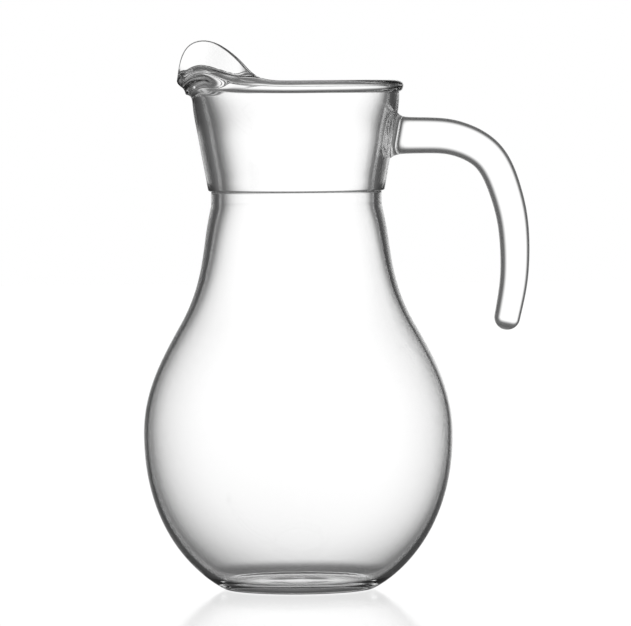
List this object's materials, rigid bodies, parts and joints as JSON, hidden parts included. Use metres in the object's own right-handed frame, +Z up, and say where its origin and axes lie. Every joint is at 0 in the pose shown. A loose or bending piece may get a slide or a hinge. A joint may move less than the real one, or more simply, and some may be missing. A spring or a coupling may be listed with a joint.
{
  "type": "glass water jug",
  "caption": "Clear glass jug with a bulbous body, a stepped collar, a pouring spout with a pinched ice guard, and an open-ended handle.",
  "frame": {"origin": "centre of the flat base, on the surface that the jug stands on", "axes": "+Z up along the vessel's axis, +X towards the handle, -X towards the spout"},
  "size_m": [0.1819, 0.1454, 0.2582],
  "materials": {
    "vessel_glass": "fire-polished clear soda-lime glass",
    "handle_glass": "fire-polished clear soda-lime glass, solid bar"
  },
  "bodies": {
    "root": {"vessel": "vessel_glass", "handle": "handle_glass"}
  },
  "joints": []
}
